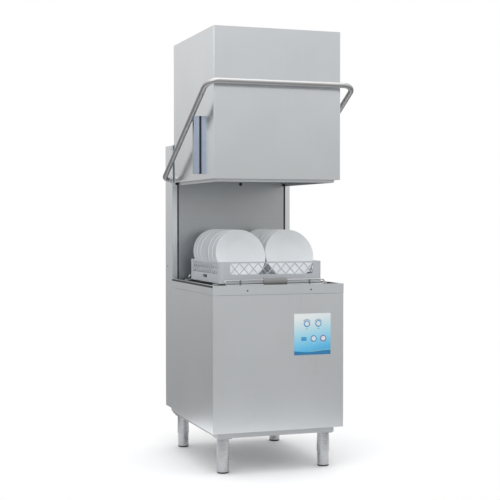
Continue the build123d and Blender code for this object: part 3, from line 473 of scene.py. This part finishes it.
def turned(rings, place, tilt=(0, 0, 0), segments=48):
    # a disc drawn out ring by ring, as on a lathe, along its own Z
    clearSelection()
    radius, height = rings[0]
    bpy.ops.mesh.primitive_circle_add(vertices=segments, radius=radius, fill_type="NGON", location=(0, 0, height))
    bpy.ops.object.transform_apply(location=True, rotation=True, scale=True)
    bpy.ops.object.mode_set(mode="EDIT")
    bpy.ops.mesh.select_all(action="SELECT")
    for (oldRadius, oldHeight), (newRadius, newHeight) in zip(rings, rings[1:]):
        bpy.ops.mesh.extrude_region_move(TRANSFORM_OT_translate={"value": (0, 0, newHeight - oldHeight)})
        grow = newRadius / oldRadius
        bpy.ops.transform.resize(value=(grow, grow, 1), center_override=(0, 0, newHeight))
    bpy.ops.mesh.select_all(action="SELECT")
    bpy.ops.mesh.normals_make_consistent(inside=False)
    bpy.ops.object.mode_set(mode="OBJECT")
    shape = bpy.context.object
    shape.location = place
    shape.rotation_euler = tilt
    return shape


def pickPoints(shape, test):
    # leaves edit mode on with only the points that pass
    bpy.ops.object.mode_set(mode="EDIT")
    bpy.ops.mesh.select_mode(type="VERT")
    bpy.ops.mesh.select_all(action="DESELECT")
    bpy.ops.object.mode_set(mode="OBJECT")
    for vertex in shape.data.vertices:
        vertex.select = test(vertex.co)
    bpy.ops.object.mode_set(mode="EDIT")


def slab(low, high, bevel=0.0, segments=2):
    # a box between two corners with its edges rounded
    clearSelection()
    low, high = Vector(low), Vector(high)
    bpy.ops.mesh.primitive_cube_add(size=1, location=(low + high) / 2)
    shape = bpy.context.object
    shape.scale = high - low
    bpy.ops.object.transform_apply(location=True, rotation=True, scale=True)
    bpy.ops.object.mode_set(mode="EDIT")
    bpy.ops.mesh.select_all(action="SELECT")
    if bevel:
        bpy.ops.mesh.bevel(offset=bevel, segments=segments, affect="EDGES")
    return shape


# plates, leaning in the rack's slots
plate = {
    "pitch": 0.061, "first": 0.149, "lean": 17, "radius": 0.122, "spots": (-0.1195, 0.125),
    "slots": ((0, 1, 2, 4, 5, 6), (0, 1, 2, 3, 5, 6)), "rest": 0.004, "floor": 0.010,
    "rimFrom": 0.1172,
    "rings": [
        (0.0560, -0.0178), (0.0605, -0.0180), (0.0625, -0.0198), (0.0665, -0.0198), (0.0690, -0.0178),
        (0.0840, -0.0138), (0.1040, -0.0072), (0.1180, -0.0026), (0.1212, -0.0018), (0.1220, -0.0010),
        (0.1214, -0.0002), (0.1198, -0.0001), (0.1178, -0.0008), (0.1160, -0.0016), (0.1030, -0.0046),
        (0.0900, -0.0082), (0.0800, -0.0112), (0.0700, -0.0136), (0.0600, -0.0150), (0.0480, -0.0157),
        (0.0300, -0.0158), (0.0080, -0.0158),
    ],
}
rackLow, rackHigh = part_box("rack")
rackY = (rackLow.y + rackHigh.y) / 2
plateZ = rackLow.z + plate["floor"] + plate["rest"] + plate["radius"] * cos(radians(plate["lean"]))
plates = []
for x, slots in zip(plate["spots"], plate["slots"]):
    for slot in slots:
        y = rackY - plate["first"] + slot * plate["pitch"]
        turned(plate["rings"], (x, y, plateZ), (radians(90 - plate["lean"]), 0, 0), 72)
        piece = finished(f"plate{len(plates) + 1}", "rack", finishes["china"], 40)
        # rim faces get the lighter rim colour as a painted highlight along each plate's rim
        piece.data.materials.append(finishes["china_rim_highlight"])
        for face in piece.data.polygons:
            reach = (face.center - Vector((x, y, plateZ))).length
            face.material_index = int(reach > plate["rimFrom"])
        plates.append(piece)
for piece in plates:
    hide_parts("plates")
print("plates:", len(plates))


# wire loops that guide the rack, one in front and one at the rear
rail = {
    "half": 0.247, "wire": 0.0030, "bend": 0.0105, "rise": 0.0165, "inset": 0.005,
    "clipX": 0.170, "clip": (0.008, 0.011, 0.030), "clipTrim": 0.001, "clipTopTrim": 0.0025,
    "plateHalf": 0.058, "plateDeep": 0.0045,
}
railLow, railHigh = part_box("guide_rails")
railZ = railLow.z + rail["rise"]
for end, railY in (("Front", railLow.y + rail["inset"]), ("Rear", railHigh.y - rail["inset"])):
    clearSelection()
    bpy.ops.mesh.primitive_torus_add(
        location=(0, 0, 0), major_segments=48, minor_segments=14, major_radius=rail["bend"],
        minor_radius=rail["wire"], rotation=(0, 0, 0),
    )
    loop = bpy.context.object
    stretch = rail["half"] - rail["bend"] - rail["wire"]
    for side in (-1, 1):
        pickPoints(loop, lambda place: side * place.x > -1e-5)
        bpy.ops.transform.translate(value=(side * stretch, 0, 0))
    bpy.ops.object.mode_set(mode="OBJECT")
    loop.rotation_euler = (radians(90), 0, 0)
    loop.location = (0, railY, railZ)
    loopPiece = finished(f"guideLoop{end}", "base", finishes["guide_wire"], 60)
    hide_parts("guide_rails")
    wide, deep, tall = rail["clip"]
    for number, x in enumerate((-rail["clipX"], rail["clipX"])):
        trim = rail["clipTrim"]
        slab((x - wide / 2, railY - deep / 2 + trim, railZ - tall / 2 + trim),
             (x + wide / 2, railY + deep / 2 - trim, railZ + tall / 2 - rail["clipTopTrim"]), 0.002, 3)
        clip = finished(f"guideClip{end}{number}", "base", finishes["grey_plastic"])
        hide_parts("guide_rails")
    half, thick = rail["plateHalf"], rail["plateDeep"]
    slab((-half, railY - thick, railLow.z), (half, railY + thick, railHigh.z), 0.0012, 2)
    guidePlate = finished(f"guidePlate{end}", "base", finishes["guide_plate"])
    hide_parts("guide_rails")
# feet under the ends of the two runners that carry the rack
foot = {"long": 0.020, "wide": 0.024, "corner": 0.0015}
runnerLow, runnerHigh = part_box("rack_runners")
for row, low in enumerate((runnerLow.y, runnerHigh.y - foot["wide"])):
    for end, x in enumerate((runnerLow.x, runnerHigh.x - foot["long"])):
        high = (x + foot["long"], low + foot["wide"], runnerLow.z)
        slab((x, low, railLow.z), high, foot["corner"], 2)
        runnerFoot = finished(f"runnerFoot{row}{end}", "base", finishes["tank_steel"])
        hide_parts("guide_rails")
print("guide rails done")


# screws: two on the rim's front, two on each side of the column
screw = {
    "rings": [
        (0.0040, 0.0), (0.0040, 0.0005), (0.0034, 0.0010), (0.0024, 0.0012), (0.0017, 0.0012), (0.0012, 0.0003),
    ],
    "frontX": 0.155, "frontDrop": 0.025,
    "postIn": 0.020, "postDrop": 0.016, "coverIn": 0.040, "coverRise": 0.060,
}
rimLow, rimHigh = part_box("rim_deck")
columnLow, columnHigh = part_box("column_side_left")
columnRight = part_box("column_side_right")[1].x
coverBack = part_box("rear_cover")[1].y
spots = []
for x in (-screw["frontX"], screw["frontX"]):
    spots.append(((x, rimLow.y, rimHigh.z - screw["frontDrop"]), (radians(90), 0, 0)))
for side, face in ((-1, columnLow.x), (1, columnRight)):
    turn = (0, radians(90 * side), 0)
    spots.append(((face, columnLow.y + screw["postIn"], columnHigh.z - screw["postDrop"]), turn))
    spots.append(((face, coverBack - screw["coverIn"], rimHigh.z + screw["coverRise"]), turn))
screwPieces = []
for number, (place, turn) in enumerate(spots):
    turned(screw["rings"], place, turn, 24)
    screwPieces.append(finished(f"screw{number + 1}", "base", finishes["dark_screw"]))
for piece in screwPieces:
    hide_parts("cover_screws")
print("screws:", len(screwPieces))

# rubber seals along the hood's rear edges (dark strips that also stand in for the shade in the gap between hood
# and column), bump stop and link caps
rubber = {
    "sealWide": 0.006, "sealProud": 0.0016, "sealSunk": 0.001, "sealBottom": 0.002, "sealBack": 0.0002,
    "sealTop": 1.535, "plugX": 0.0468, "plugZ": 1.3398,
    "plug": [(0.0085, 0.0), (0.0085, 0.0012), (0.0070, 0.0024), (0.0040, 0.0028), (0.0012, 0.0029)],
}
hoodLow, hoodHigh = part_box("hood_shell")
# black strips from the hood's bottom up to the column top: seals, and at the same time a dark stand-in for the
# shade in the gap between hood and column
for side, face in ((-1, hoodLow.x), (1, hoodHigh.x)):
    edges = sorted((face - side * rubber["sealSunk"], face + side * rubber["sealProud"]))
    slab((edges[0], hoodHigh.y - rubber["sealWide"], hoodLow.z + rubber["sealBottom"]),
         (edges[1], hoodHigh.y - rubber["sealBack"], rubber["sealTop"]), 0.0005, 2)
    finished("hoodSealAndGapShadeLeft" if side < 0 else "hoodSealAndGapShadeRight", "hood", finishes["hose_rubber"])
splashLow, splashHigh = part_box("splash_panel")
turned(rubber["plug"], (rubber["plugX"], splashLow.y, rubber["plugZ"]), (radians(90), 0, 0), 28)
finished("bumpStop", "base", finishes["hose_rubber"])
linkCap = {"half": (0.0105, 0.0085), "thick": 0.003}
for side, name in ((-1, "left"), (1, "right")):
    low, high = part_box(f"link_{name}")
    middle = (low + high) / 2
    halfX, halfY = linkCap["half"]
    slab((middle.x - halfX, middle.y - halfY, low.z),
         (middle.x + halfX, middle.y + halfY, low.z + linkCap["thick"]), 0.0008, 2)
    finished(f"linkCap{name.title()}", f"link_{name}", finishes["grey_plastic"])
print("seals and caps done")
